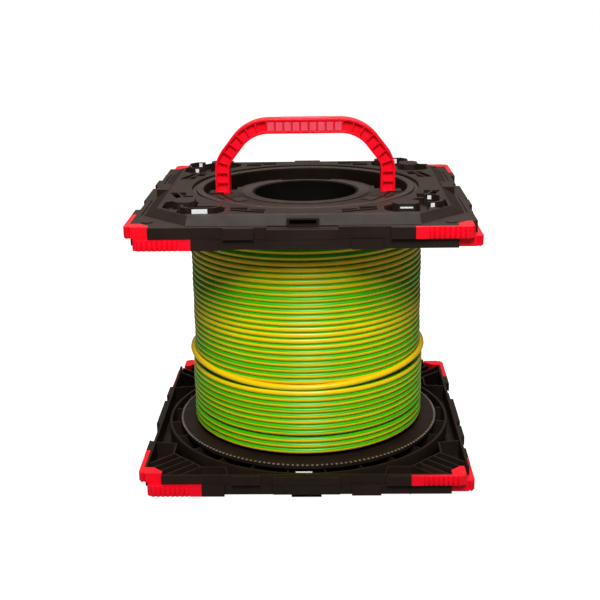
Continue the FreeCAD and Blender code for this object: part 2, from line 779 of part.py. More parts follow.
def tie_bosses(end):
    """Bosses of one hub cap for the tie rods, and the holes through them."""
    rod = DIM["tie_radius"]
    bosses = []
    holes = []
    for x, y in tie_spots():
        boss_top = HUB if as_size(y).value < 0 else CHANNEL
        bosses.append(cylinder(rod * 3, BOSS_LOW, boss_top - 1.0, x, y))
        if end == "lower":
            holes.append(cylinder(rod, BOSS_LOW - PAST, PAST, x, y))
            holes.append(cylinder(rod * 2 + 0.5, CHANNEL, PAST, x, y))
        else:
            holes.append(cylinder(rod * 1.6, BOSS_LOW - PAST, BOSS_LOW + 12.0, x, y))
            holes.append(cylinder(rod, BOSS_LOW, BOSS_LOW + 18.0, x, y))
    return bosses, holes


def hub_cap(end):
    """Cap in the spool's end: floor, bore collar, and the channel the handle folds into."""
    far = BARREL * 2
    collar = CORE_OUT + WALL
    body = cylinder(RECESS, FLANGE_OUT, HUB)
    trench = cut(
        box((-far, CHANNEL_FRONT, CHANNEL), (far, far, PAST)),
        island(0.0, CHANNEL - PAST, PAST * 2),
    )
    under_front = common(
        cylinder(RECESS - WALL, FLANGE_OUT - PAST, HUB - WALL),
        box((-far, -far, FLANGE_OUT - PAST), (far, CHANNEL_FRONT - WALL, HUB - WALL)),
    )
    under_island = island(WALL, FLANGE_OUT - PAST, HUB - WALL)
    hollow = cut(fuse(under_front, under_island), cylinder(collar, BOSS_LOW, 0.0))
    spigot = tube(BARREL_IN, BARREL_IN - WALL, FLANGE_IN - SPIGOT_DEPTH, FLANGE_OUT + 1.0)
    bosses, holes = tie_bosses(end)
    extras = [cylinder(collar, BOSS_LOW, FLANGE_OUT), spigot] + bosses
    openings = [cylinder(CORE_OUT, BOSS_LOW - PAST, PAST)] + holes
    if end == "upper":
        extras += handle_lugs()
        for left, right in pin_spans():
            openings.append(cross_cylinder(DIM["pin_radius"], left, right, 0.0, PIVOT))
    shell = cut(body, trench, hollow)
    keep(cut(fuse(shell, *extras), *openings), end + "_hub_cap", SIDES[end])


def handle_lugs():
    """Ears of the hub island beside each handle leg."""
    near = DIM["island_side"] - 1.0
    far = LEG_IN - DIM["side_gap"]
    low = CHANNEL - 1.0
    return [
        box((near, CHANNEL_FRONT, low), (far, 10.0, HUB)),
        box((-far, CHANNEL_FRONT, low), (-near, 10.0, HUB)),
    ]


def handle_retainers():
    """Bearing block outside each handle leg, with the stop bar in front of the leg."""
    near = LEG_OUT + DIM["side_gap"]
    far = near + 8.0
    spans = [
        (near, far, CHANNEL_FRONT, 10.0, CHANNEL, HUB),
        (near, far, CHANNEL_FRONT, -8.0, HUB, HUB + 1.6),
        (near - 10.0, far, CHANNEL_FRONT - 4.0, CHANNEL_FRONT, HUB, HUB + 1.6),
    ]
    blocks = []
    for left, right, front, back, bottom, top in spans:
        blocks.append(box((left, front, bottom), (right, back, top)))
        blocks.append(box((-right, front, bottom), (-left, back, top)))
    holes = [cross_cylinder(DIM["pin_radius"], left, right, 0.0, PIVOT) for left, right in pin_spans()]
    keep(cut(fuse(*blocks), *holes), "handle_retainers", "top")


def pin_spans():
    """Left and right ends of the two pivot pins."""
    far = LEG_OUT + 7.0
    near = LEG_IN - 7.0
    return [(-far, -near), (near, far)]


def tie_hardware():
    """Tie rods from the lower hub cap, and the threaded inserts that hold them above."""
    rod = DIM["tie_radius"]
    rod_low = -CHANNEL
    insert_low = DIM["body_height"] + BOSS_LOW
    insert_high = insert_low + 12.0
    rods = []
    inserts = []
    for x, y in tie_spots():
        shank = cylinder(rod, rod_low, insert_low + 18.0, x, y)
        head = cylinder(rod * 2, rod_low - 5.0, rod_low, x, y)
        socket = cylinder(rod * 0.85, rod_low - 5.0 - PAST, rod_low - 2.0, x, y)
        rods.append(cut(fuse(shank, head), socket))
        sleeve = cylinder(rod * 1.6, insert_low, insert_high, x, y)
        inserts.append(cut(sleeve, cylinder(rod, insert_low - PAST, insert_high + PAST, x, y)))
    keep(fuse(*rods), "tie_rods")
    keep(fuse(*inserts), "tie_inserts")


def spool():
    """The turning spool: barrel, core, both ends, their fixings and the handle's pins."""
    height = DIM["body_height"]
    keep(padded_body("barrel", [(BARREL, 0, 0), (BARREL_IN, 0, 0)],
                     DIM["flange_face"], height - DIM["flange_face"]), "barrel")
    keep(padded_body("core", [(CORE_OUT, 0, 0), (DIM["core_radius"], 0, 0)],
                     DIM["hub_floor"], height - DIM["hub_floor"]), "core_tube")
    for end in SIDES:
        flange(end)
        hub_cap(end)
        retaining_ring(end)
        ring_screws(end)
    tie_hardware()
    pins = [cross_cylinder(DIM["pin_radius"], left, right, 0.0, height + PIVOT) for left, right in pin_spans()]
    keep(fuse(*pins), "handle_pins")
    handle_retainers()


def winding():
    """The wound wire as solids of its outer shape: two covered layers and the visible one."""
    low = DIM["flange_face"]
    high = DIM["body_height"] - DIM["flange_face"]
    covered = BARREL + DIM["wire_thickness"] / 2 + DIM["wire_layer"] * 1.5
    outside = BARREL + DIM["wire_thickness"] + DIM["wire_layer"] * 2
    swollen = outside + DIM["wire_swell"]
    step = DIM["wire_step"]
    keep(padded_body("covered", [(covered, 0, 0), (BARREL, 0, 0)], low, high), "wire_inner_turns")
    keep(padded_body("lower", [(swollen, 0, 0), (covered, 0, 0)], low, step), "wire_lower_turns")
    keep(padded_body("upper", [(outside, 0, 0), (covered, 0, 0)], step, high), "wire_upper_turns")


# ---------------------------------------------------------------- handle

PIVOT_HEIGHT = DIM["body_height"].value - DIM["pivot_drop"].value
HANDLE_HALF = DIM["handle_half"].value
HANDLE_BAND = DIM["handle_band"].value
HANDLE_FLANGE = DIM["handle_flange"].value
HALF_DEPTH = DIM["handle_depth"].value / 2
GRIP_TOP = PIVOT_HEIGHT + DIM["handle_reach"].value
LEAN = math.radians(DIM["handle_lean"].value)
BEND = DIM["handle_bend"].value
SHOULDER = DIM["handle_shoulder"].value
POCKET_FLOOR = PIVOT_HEIGHT + 9.0
RIB_THICK = 1.8
GRIP_RIB_PITCH = 10.5
GRIP_RIBS = 5
LEG_RIB_PITCH = 12.4
LEG_RIBS = 8


def spot(x, z, y=0.0):
    """A point of the handle, which is drawn upright in the XZ plane."""
    return FreeCAD.Vector(x, y, z)


def bend_centre():
    """Centre of the right leg's lower bend, which the leg's outer lines touch."""
    corner = PIVOT_HEIGHT + DIM["handle_elbow"].value
    return HANDLE_HALF - BEND, corner - BEND * math.tan(LEAN / 2)


def shoulder_centre():
    """Centre of the right shoulder's bend, between the leaning stretch and the grip."""
    z = GRIP_TOP - SHOULDER
    corner = PIVOT_HEIGHT + DIM["handle_elbow"].value
    touch = HANDLE_HALF * math.cos(LEAN) + corner * math.sin(LEAN)
    return (touch - SHOULDER - z * math.sin(LEAN)) / math.cos(LEAN), z


def on_arc(centre, radius, angle):
    """A point of an arc as (x, z)."""
    return centre[0] + radius * math.cos(angle), centre[1] + radius * math.sin(angle)


def line(start, end):
    return Part.LineSegment(spot(*start), spot(*end)).toShape()


def bow_side(inset, bottom, side):
    """Edges of the outline on one side, from the foot to the middle of the grip."""
    turns = [(bend_centre(), BEND - inset, 0.0, LEAN), (shoulder_centre(), SHOULDER - inset, LEAN, math.pi / 2)]
    here = (side * (HANDLE_HALF - inset), bottom)
    edges = []
    for centre, radius, first, last in turns:
        points = [on_arc(centre, radius, angle) for angle in (first, (first + last) / 2, last)]
        start, middle, end = [(side * x, z) for x, z in points]
        edges.append(line(here, start))
        edges.append(Part.Arc(spot(*start), spot(*middle), spot(*end)).toShape())
        here = end
    edges.append(line(here, (0.0, here[1])))
    return edges


def handle_slab(outer_inset, inner_inset, bottom, front, back):
    """The band between two insets of the outline, from front to back."""
    edges = []
    for side in (-1, 1):
        edges += bow_side(outer_inset, bottom, side) + bow_side(inner_inset, bottom, side)
        outer_foot = (side * (HANDLE_HALF - outer_inset), bottom)
        edges.append(line(outer_foot, (side * (HANDLE_HALF - inner_inset), bottom)))
    wire = Part.Wire(Part.__sortEdges__(edges))
    slab = Part.Face(wire).extrude(spot(0.0, 0.0, back - front))
    slab.translate(spot(0.0, 0.0, front))
    return slab


def on_centreline(distance):
    """Point and direction of the right half's centreline, this far from the grip's middle."""
    inset = HANDLE_BAND / 2
    shoulder, bend = shoulder_centre(), bend_centre()
    if distance <= shoulder[0]:
        return (distance, GRIP_TOP - inset), math.pi / 2
    distance -= shoulder[0]
    radius = SHOULDER - inset
    sweep = math.pi / 2 - LEAN
    if distance <= radius * sweep:
        angle = math.pi / 2 - distance / radius
        return on_arc(shoulder, radius, angle), angle
    distance -= radius * sweep
    straight = (bend[0] - shoulder[0]) * math.sin(LEAN) - (bend[1] - shoulder[1]) * math.cos(LEAN)
    if distance <= straight:
        start = on_arc(shoulder, radius, LEAN)
        return (start[0] + distance * math.sin(LEAN), start[1] - distance * math.cos(LEAN)), LEAN
    distance -= straight
    radius = BEND - inset
    if distance <= radius * LEAN:
        angle = LEAN - distance / radius
        return on_arc(bend, radius, angle), angle
    distance -= radius * LEAN
    return (HANDLE_HALF - inset, bend[1] - distance), 0.0


def handle_ribs():
    """Thin walls across the handle's band, square to its run."""
    distances = [GRIP_RIB_PITCH * (number + 0.5) for number in range(GRIP_RIBS)]
    distances += [distances[-1] + LEG_RIB_PITCH * (number + 1) for number in range(LEG_RIBS)]
    ribs = []
    for distance in distances:
        (x, z), angle = on_centreline(distance)
        for side in (-1, 1):
            depth = 2 * HALF_DEPTH - 1.0
            corner = spot(-HANDLE_BAND / 2, -RIB_THICK / 2, -depth / 2)
            rib = Part.makeBox(HANDLE_BAND, depth, RIB_THICK, corner)
            rib.rotate(spot(0.0, 0.0), Y_AXIS, -side * math.degrees(angle))
            rib.translate(spot(side * x, z))
            ribs.append(rib)
    return ribs


def handle():
    """Carrying handle: an I-section band with cross ribs, on two round-ended legs."""
    bow = handle_slab(0.0, HANDLE_BAND, PIVOT_HEIGHT, -HALF_DEPTH, HALF_DEPTH)
    feet = []
    for left in (-HANDLE_HALF, HANDLE_HALF - HANDLE_BAND):
        feet.append(Part.makeCylinder(HALF_DEPTH, HANDLE_BAND, spot(left, PIVOT_HEIGHT), X_AXIS))
    bow = bow.fuse(feet)
    ribs = handle_ribs()
    web = DIM["handle_web"].value / 2
    for front, back in ((-HALF_DEPTH - PAST, -web), (web, HALF_DEPTH + PAST)):
        pocket = handle_slab(HANDLE_FLANGE, HANDLE_BAND - HANDLE_FLANGE, POCKET_FLOOR, front, back)
        bow = bow.cut(pocket.cut(ribs))
    hole_radius = DIM["pin_radius"].value + DIM["running_gap"].value / 2
    hole = Part.makeCylinder(hole_radius, 4 * HANDLE_HALF, spot(-2 * HANDLE_HALF, PIVOT_HEIGHT), X_AXIS)
    insert = Part.makeBox(58.0, 17.0, 2.0, spot(-29.0, GRIP_TOP - 1.2, -8.5))
    item = doc.addObject("Part::Feature", "bow")
    item.Shape = bow.cut([hole, insert]).removeSplitter()
    keep(item, "handle_bow")
    pad = doc.addObject("Part::Feature", "grip_pad")
    pad.Shape = insert
    keep(pad, "handle_grip_insert")


# ---------------------------------------------------------------- build and write

for plate_end in ("base", "top"):
    plate_set(plate_end)
spool()
winding()
handle()
doc.recompute()

for item in doc.Objects:
    if "Invalid" in item.State or "Error" in item.State:
        raise RuntimeError("failed feature: " + item.Label)
for item in nodes:
    if item.Shape.isNull() or not item.Shape.isValid():
        raise RuntimeError("bad shape: " + item.Label)

os.makedirs("parts", exist_ok=True)
for item in nodes:
    item.Shape.exportStep("parts/" + item.Label + ".step")
    print(item.Label, len(item.Shape.Solids), round(item.Shape.Volume / 1000.0, 1))
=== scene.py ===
import math
import bmesh
import bpy
import numpy as np
from mathutils import Matrix, Vector
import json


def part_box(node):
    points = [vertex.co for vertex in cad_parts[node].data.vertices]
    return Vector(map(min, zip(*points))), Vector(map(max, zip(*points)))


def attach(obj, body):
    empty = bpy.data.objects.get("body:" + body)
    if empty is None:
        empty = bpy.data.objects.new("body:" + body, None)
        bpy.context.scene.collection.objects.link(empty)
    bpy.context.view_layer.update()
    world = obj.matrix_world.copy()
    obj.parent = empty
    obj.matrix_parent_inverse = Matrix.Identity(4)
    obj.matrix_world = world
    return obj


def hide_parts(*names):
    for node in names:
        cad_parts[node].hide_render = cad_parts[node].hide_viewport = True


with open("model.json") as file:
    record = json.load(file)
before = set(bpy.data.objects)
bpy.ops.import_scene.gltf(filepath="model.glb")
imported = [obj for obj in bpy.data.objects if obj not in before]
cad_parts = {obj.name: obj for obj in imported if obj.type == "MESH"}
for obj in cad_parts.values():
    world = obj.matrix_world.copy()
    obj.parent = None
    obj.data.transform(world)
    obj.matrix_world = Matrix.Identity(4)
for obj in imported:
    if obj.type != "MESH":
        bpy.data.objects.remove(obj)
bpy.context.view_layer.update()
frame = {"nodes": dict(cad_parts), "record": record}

MM = 0.001


# ---------------------------------------------------------------- camera, lights, floor

CAMERA_PLACE = Vector((0.0242, -1.3487, 0.6122))
CAMERA_PITCH = math.radians(17.12)
CAMERA_YAW = math.radians(-1.41)
CAMERA_ROLL = math.radians(-0.86)
CAMERA_LENS = 64.65  # mm, on a sensor of this width
CAMERA_SENSOR = 36.0

AMBIENT = 0.05
AMBIENT_TINT = (1.0, 0.97, 0.94, 1.0)
FRONT_POWER = 50.0
TOP_POWER = 36.0
BACK_POWER = 3.5
BACK_TINT = (1.0, 0.76, 0.62)
SIDE_POWER = 0.8

WHITE = (1.0, 1.0, 1.0, 1.0)
FLOOR_GREY = (0.25, 0.25, 0.25, 1.0)
FLOOR_GLOW = 1.0
FLOOR_REACH = 30.0


def make_camera():
    """The one camera, turned by yaw, then pitch, then roll."""
    forward = Vector((
        math.sin(CAMERA_YAW) * math.cos(CAMERA_PITCH),
        math.cos(CAMERA_YAW) * math.cos(CAMERA_PITCH),
        -math.sin(CAMERA_PITCH),
    ))
    level_right = Vector((math.cos(CAMERA_YAW), -math.sin(CAMERA_YAW), 0.0))
    level_up = level_right.cross(forward)
    right = level_right * math.cos(CAMERA_ROLL) + level_up * math.sin(CAMERA_ROLL)
    up = level_up * math.cos(CAMERA_ROLL) - level_right * math.sin(CAMERA_ROLL)
    turn = Matrix((right, up, -forward)).transposed().to_4x4()
    data = bpy.data.cameras.new("camera")
    data.lens = CAMERA_LENS
    data.sensor_width = CAMERA_SENSOR
    camera = bpy.data.objects.new("camera", data)
    camera.matrix_world = Matrix.Translation(CAMERA_PLACE) @ turn
    bpy.context.scene.collection.objects.link(camera)
    bpy.context.scene.camera = camera


def area_light(name, place, aim, size, power, colour=(1.0, 1.0, 1.0)):
    """A rectangular softbox at place that faces aim."""
    data = bpy.data.lights.new(name, "AREA")
    data.shape = "RECTANGLE"
    data.size, data.size_y = size
    data.energy = power
    data.color = colour
    light = bpy.data.objects.new(name, data)
    light.location = place
    light.rotation_euler = (Vector(aim) - Vector(place)).to_track_quat("-Z", "Y").to_euler()
    bpy.context.scene.collection.objects.link(light)


def make_studio():
    """White backdrop that lights the reel only dimly, and softboxes above and in front."""
    world = bpy.data.worlds.new("studio")
    world.use_nodes = True
    nodes = world.node_tree.nodes
    links = world.node_tree.links
    backdrop = nodes["Background"]
    backdrop.inputs["Color"].default_value = WHITE
    backdrop.inputs["Strength"].default_value = 1.0
    ambient = nodes.new("ShaderNodeBackground")
    ambient.inputs["Color"].default_value = AMBIENT_TINT
    ambient.inputs["Strength"].default_value = AMBIENT
    seen = nodes.new("ShaderNodeLightPath")
    mix = nodes.new("ShaderNodeMixShader")
    links.new(seen.outputs["Is Camera Ray"], mix.inputs["Fac"])
    links.new(ambient.outputs["Background"], mix.inputs[1])
    links.new(backdrop.outputs["Background"], mix.inputs[2])
    links.new(mix.outputs["Shader"], nodes["World Output"].inputs["Surface"])
    bpy.context.scene.world = world
    bpy.context.scene.view_settings.view_transform = "Standard"
    middle = (0.0, 0.0, 0.2)
    area_light("front_softbox", (0.05, -1.6, 1.75), middle, (0.75, 0.9), FRONT_POWER)
    area_light("top_softbox", (0.0, 0.7, 1.9), middle, (1.8, 1.0), TOP_POWER)
    area_light("back_softbox", (0.0, 2.3, 1.35), (0.0, 0.0, 0.34), (2.2, 0.5), BACK_POWER, BACK_TINT)
    area_light("left_softbox", (-1.9, -0.7, 0.7), middle, (0.7, 1.2), SIDE_POWER)
    area_light("right_softbox", (1.9, -0.7, 0.7), middle, (0.7, 1.2), SIDE_POWER)


def make_floor():
    """White paper that glows only for the camera, so that it shows no edge and lights nothing."""
    mesh = bpy.data.meshes.new("floor")
    far = FLOOR_REACH
    corners = [(-far, -far, 0.0), (far, -far, 0.0), (far, far, 0.0), (-far, far, 0.0)]
    mesh.from_pydata(corners, [], [(0, 1, 2, 3)])
    floor = bpy.data.objects.new("floor", mesh)
    bpy.context.scene.collection.objects.link(floor)
    material, shader = new_material("floor_paper")
    shader.inputs["Base Color"].default_value = FLOOR_GREY
    shader.inputs["Roughness"].default_value = 1.0
    shader.inputs["Specular IOR Level"].default_value = 0.0
    shader.inputs["Emission Color"].default_value = WHITE
    seen = add_node(material, "ShaderNodeLightPath")
    glow = add_node(material, "ShaderNodeMath", operation="MULTIPLY")
    glow.inputs[1].default_value = FLOOR_GLOW
    material.node_tree.links.new(seen.outputs["Is Camera Ray"], glow.inputs[0])
    material.node_tree.links.new(glow.outputs["Value"], shader.inputs["Emission Strength"])
    mesh.materials.append(material)


# ---------------------------------------------------------------- materials

def new_material(name):
    """A material and its shader node."""
    material = bpy.data.materials.new(name)
    material.use_nodes = True
    return material, material.node_tree.nodes["Principled BSDF"]


def add_node(material, kind, **settings):
    """A shader node of one kind, with its settings."""
    node = material.node_tree.nodes.new(kind)
    for name, value in settings.items():
        setattr(node, name, value)
    return node


def noise(material, scale, detail=3.0):
    """A noise in object space, so that its grain has a real size."""
    place = add_node(material, "ShaderNodeTexCoord")
    grain = add_node(material, "ShaderNodeTexNoise")
    grain.inputs["Scale"].default_value = scale
    grain.inputs["Detail"].default_value = detail
    material.node_tree.links.new(place.outputs["Object"], grain.inputs["Vector"])
    return grain


def spread(material, source, low, high):
    """Stretches a noise, which stays mostly between 0.3 and 0.7, over low to high."""
    ramp = add_node(material, "ShaderNodeMapRange")
    ramp.inputs["From Min"].default_value = 0.3
    ramp.inputs["From Max"].default_value = 0.7
    ramp.inputs["To Min"].default_value = low
    ramp.inputs["To Max"].default_value = high
    material.node_tree.links.new(source.outputs["Fac"], ramp.inputs["Value"])
    return ramp.outputs["Result"]


def mixed(material, factor, dark, light):
    """A colour between dark and light."""
    mix = add_node(material, "ShaderNodeMix", data_type="RGBA")
    mix.inputs["A"].default_value = (*dark, 1.0)
    mix.inputs["B"].default_value = (*light, 1.0)
    material.node_tree.links.new(factor, mix.inputs["Factor"])
    return mix.outputs["Result"]


def moulded(name, dark, light, rough, grain_scale=2600.0, grain_height=0.00004, shine=0.5):
    """Moulded plastic: uneven colour, uneven gloss, and a fine spark-eroded grain."""
    material, shader = new_material(name)
    links = material.node_tree.links
    clouds = spread(material, noise(material, 26.0, 4.0), 0.0, 1.0)
    links.new(mixed(material, clouds, dark, light), shader.inputs["Base Color"])
    smears = noise(material, 70.0, 5.0)
    links.new(spread(material, smears, rough[0], rough[1]), shader.inputs["Roughness"])
    grain = noise(material, grain_scale, 2.0)
    bump = add_node(material, "ShaderNodeBump")
    bump.inputs["Strength"].default_value = 0.5
    bump.inputs["Distance"].default_value = grain_height
    links.new(grain.outputs["Fac"], bump.inputs["Height"])
    links.new(bump.outputs["Normal"], shader.inputs["Normal"])
    shader.inputs["Specular IOR Level"].default_value = shine
    return material


def metal(name, dark, light, rough):
    """Turned or plated metal with fine streaks."""
    material, shader = new_material(name)
    links = material.node_tree.links
    shader.inputs["Metallic"].default_value = 1.0
    streaks = spread(material, noise(material, 900.0, 3.0), 0.0, 1.0)
    links.new(mixed(material, streaks, dark, light), shader.inputs["Base Color"])
    smears = noise(material, 160.0, 3.0)
    links.new(spread(material, smears, rough[0], rough[1]), shader.inputs["Roughness"])
    return material


STRIPE_HALF = 0.222  # half the yellow stripe's width, as a share of the way round the wire
STRIPE_BLUR = 0.01


def insulation():
    """Glossy earth-wire insulation: a yellow stripe on green, placed by the mesh's own v."""
    material, shader = new_material("wire_insulation")
    links = material.node_tree.links
    place = add_node(material, "ShaderNodeUVMap")
    parts = add_node(material, "ShaderNodeSeparateXYZ")
    links.new(place.outputs["UV"], parts.inputs["Vector"])
    wrap = add_node(material, "ShaderNodeMath", operation="FRACT")
    links.new(parts.outputs["Y"], wrap.inputs[0])
    centre = add_node(material, "ShaderNodeMath", operation="SUBTRACT")
    centre.inputs[1].default_value = 0.5
    links.new(wrap.outputs["Value"], centre.inputs[0])
    away = add_node(material, "ShaderNodeMath", operation="ABSOLUTE")
    links.new(centre.outputs["Value"], away.inputs[0])
    edge = add_node(material, "ShaderNodeMapRange", interpolation_type="SMOOTHSTEP")
    edge.inputs["From Min"].default_value = STRIPE_HALF - STRIPE_BLUR
    edge.inputs["From Max"].default_value = STRIPE_HALF + STRIPE_BLUR
    links.new(away.outputs["Value"], edge.inputs["Value"])
    tint = spread(material, noise(material, 60.0, 3.0), 0.0, 1.0)
    yellow = mixed(material, tint, (0.98, 0.62, 0.0), (1.0, 0.66, 0.0))
    green = mixed(material, tint, (0.035, 0.47, 0.0), (0.045, 0.51, 0.001))
    stripe = add_node(material, "ShaderNodeMix", data_type="RGBA")
    links.new(edge.outputs["Result"], stripe.inputs["Factor"])
    links.new(yellow, stripe.inputs["A"])
    links.new(green, stripe.inputs["B"])
    links.new(stripe.outputs["Result"], shader.inputs["Base Color"])
    smears = noise(material, 120.0, 3.0)
    links.new(spread(material, smears, 0.3, 0.36), shader.inputs["Roughness"])
    shader.inputs["Specular IOR Level"].default_value = 0.45
    return material


# ---------------------------------------------------------------- finish of the pieces

MERGE_GAP = 0.01 * MM
SHARPEST = math.radians(38.0)  # edges that turn more than this are rounded


def soften(node, width):
    """Rounds a piece's moulded edges with modifiers, so that its own mesh stays as it is."""
    weld = node.modifiers.new("weld", "WELD")
    weld.merge_threshold = MERGE_GAP
    bevel = node.modifiers.new("rounding", "BEVEL")
    bevel.width = width
    bevel.segments = 2
    bevel.limit_method = "ANGLE"
    bevel.angle_limit = SHARPEST
    bevel.use_clamp_overlap = True
    bevel.harden_normals = False


def paint(node, material):
    """Gives a piece one material."""
    node.data.materials.clear()
    node.data.materials.append(material)


# ---------------------------------------------------------------- wound wire

WIRE_RADIUS = 3.65 * MM
WIRE_PITCH = 7.35 * MM
LAYER_STEP = 6.32 * MM
STEPS = 96  # along each turn
SIDES = 12  # round the wire

# Places along the visible layer are counted in turns from the lower flange. A whole number is at the right.
CROSSING = 12.0  # where the loose turn has climbed to the right
SWELL = 3.0 * MM  # how much further out the turns below it lie
CLIMB_OUT = 2.6 * MM
CLIMB_UP = 8.5 * MM
LEFT_CLIMB = 1.15  # the loose turn stands out more at the left than at the right
WAVER = 0.25 * MM
SQUEEZE = 0.06 * MM  # by which each turn sits closer than the pitch
SPARE = 2.1 * MM  # gap above the lowest three turns

# The stripe's turning round the wire, in shares of a full turn
STRIPE_START = 0.685
STRIPE_CHANGES = (  # first turn, last turn, change between them
    (28.2, 29.6, -0.055),
    (32.8, 34.2, 0.10),
    (CROSSING - 2.1, CROSSING - 1.5, -0.14),
    (CROSSING - 1.0, CROSSING - 0.5, -0.17),
    (CROSSING + 0.1, CROSSING + 0.6, 0.31),
)
STRIPE_BANDS = (  # middle turn, half width in turns, change at the middle
    (26.5, 3.0, 0.02),
    (20.6, 4.6, -0.07),
)


def helix_mesh(name, centres, outward, stripe, length_step):
    """A tube along centres. outward is the unit direction away from the reel's axis at each."""
    count = len(centres)
    around = np.linspace(0.0, 2.0 * math.pi, SIDES, endpoint=False)
    rise = np.array((0.0, 0.0, 1.0))
    rings = (
        centres[:, None, :]
        + WIRE_RADIUS * np.cos(around)[None, :, None] * outward[:, None, :]
        + WIRE_RADIUS * np.sin(around)[None, :, None] * rise[None, None, :]
    )
    points = rings.reshape(-1, 3)
    faces = []
    uvs = []
    for ring in range(count - 1):
        start = ring * SIDES
        for side in range(SIDES):
            after = (side + 1) % SIDES
            faces.append((start + side, start + after, start + SIDES + after, start + SIDES + side))
            low = side / SIDES
            high = (side + 1) / SIDES
            here = ring * length_step
            there = here + length_step
            uvs += [
                (here, low + stripe[ring]), (here, high + stripe[ring]),
                (there, high + stripe[ring + 1]), (there, low + stripe[ring + 1]),
            ]
    first = tuple(range(SIDES))[::-1]
    last = tuple((count - 1) * SIDES + side for side in range(SIDES))
    faces += [first, last]
    uvs += [(0.0, 0.0)] * (2 * SIDES)
    mesh = bpy.data.meshes.new(name)
    mesh.from_pydata([tuple(p) for p in points], [], faces)
    layer = mesh.uv_layers.new(name="UVMap")
    layer.data.foreach_set("uv", np.array(uvs, np.float32).ravel())
    mesh.polygons.foreach_set("use_smooth", [True] * len(mesh.polygons))
    mesh.validate()
    return mesh


def eased(value, start, end):
    """A smooth step from 0 at start to 1 at end."""
    share = np.clip((value - start) / (end - start), 0.0, 1.0)
    return share * share * (3.0 - 2.0 * share)


def hump(value, middle, half):
    """A smooth hump of height 1 around a middle."""
    return eased(value, middle - half, middle) - eased(value, middle, middle + half)


def wind_layer(name, radius, turns, low, outer, seed, material):
    """One helical layer of the winding, from the lower flange upwards."""
    steps = int(turns * STEPS)
    turn = np.arange(steps + 1) / STEPS
    angle = 2.0 * math.pi * turn
    height = low + WIRE_PITCH * turn
    reach = np.full(steps + 1, radius)
    if outer:
        reach, height = build_up(turn, reach, height)
    outward = np.stack((np.cos(angle), np.sin(angle), np.zeros(steps + 1)), axis=1)
    centres = outward * reach[:, None]
    centres[:, 2] = height
    stripe = stripe_turning(turn, seed)
    length_step = 2.0 * math.pi * radius / STEPS
    piece = bpy.data.objects.new(name, helix_mesh(name, centres, outward, stripe, length_step))
    piece.data.materials.append(material)
    bpy.context.scene.collection.objects.link(piece)
    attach(piece, "spool")
    return piece


def stripe_turning(turn, seed):
    """How far the stripe has turned round the wire: broad bands where more yellow shows."""
    phase = np.full(turn.shape, STRIPE_START)
    for start, end, change in STRIPE_CHANGES:
        phase += change * eased(turn, start, end)
    for middle, half, change in STRIPE_BANDS:
        phase += change * hump(turn, middle, half)
    phase += 0.012 * np.sin(2.0 * math.pi * turn / 3.7 + 2.0 * seed)
    phase += 0.009 * np.sin(2.0 * math.pi * turn * 1.31 + seed)
    return phase


def build_up(turn, reach, height):
    """The visible layer's thicker lower turns, under a loose turn that climbs to the right."""
    swollen = 1.0 - eased(turn, CROSSING + 0.12, CROSSING + 0.4)
    left = eased(turn, CROSSING - 0.9, CROSSING - 0.62) - eased(turn, CROSSING - 0.5, CROSSING - 0.27)
    right = eased(turn, CROSSING - 0.26, CROSSING - 0.02) - eased(turn, CROSSING + 0.1, CROSSING + 0.4)
    climb = LEFT_CLIMB * left + right
    reach = reach + SWELL * swollen + CLIMB_OUT * climb
    reach = reach + WAVER * np.sin(2.0 * math.pi * turn * 0.83) * (1.0 - climb)
    height = height + CLIMB_UP * climb
    height = height - SQUEEZE * turn + SPARE * eased(turn, 3.15, 3.45)
    return reach, height


def wind_wire(material):
    """Three layers between the flanges. The CAD's plain windings give way to the first and the last."""
    low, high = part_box("wire_inner_turns")
    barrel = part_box("barrel")[1].x
    first = low.z + WIRE_RADIUS
    room = high.z - low.z - 2.0 * WIRE_RADIUS
    turns = room / WIRE_PITCH
    inner = wind_layer("wire_first_layer", barrel + WIRE_RADIUS, turns, first, False, 0.0, material)
    wind_layer(
        "wire_second_layer", barrel + WIRE_RADIUS + LAYER_STEP, turns - 0.5,
        first + WIRE_PITCH / 2, False, 1.7, material)
    outer = wind_layer(
        "wire_outer_layer", barrel + WIRE_RADIUS + 2 * LAYER_STEP, turns, first, True, 0.6, material)
    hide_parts("wire_inner_turns")
    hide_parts("wire_upper_turns", "wire_lower_turns")


# ---------------------------------------------------------------- small moulded detail

def add_piece(name, boxes, material, body, rounding):
    """One object made of blocks, each given as eight corners."""
    shape = bmesh.new()
    for corners in boxes:
        points = [shape.verts.new(corner) for corner in corners]
        for face in ((3, 2, 1, 0), (4, 5, 6, 7), (0, 1, 5, 4), (1, 2, 6, 5), (2, 3, 7, 6), (3, 0, 4, 7)):
            shape.faces.new([points[index] for index in face])
    mesh = bpy.data.meshes.new(name)
    shape.to_mesh(mesh)
    shape.free()
    piece = bpy.data.objects.new(name, mesh)
    mesh.materials.append(material)
    bpy.context.scene.collection.objects.link(piece)
    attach(piece, body)
    if rounding:
        soften(piece, rounding)


def block(left, right, front, back, low, high):
    """Eight corners of an upright block."""
    plan = ((left, front), (right, front), (right, back), (left, back))
    return [(x, y, z) for z in (low, high) for x, y in plan]


def sector(inner, outer, first, last, low, high):
    """Eight corners of a short piece of a ring, between two angles in degrees."""
    corners = []
    for z in (low, high):
        for radius, angle in ((inner, first), (outer, first), (outer, last), (inner, last)):
            turn = math.radians(angle)
            corners.append((radius * math.cos(turn), radius * math.sin(turn), z))
    return corners


def ring_of_sectors(inner, outer, first, last, low, high, count):
    """Blocks that follow an arc."""
    step = (last - first) / count
    return [sector(inner, outer, first + step * n, first + step * (n + 1), low, high) for n in range(count)]


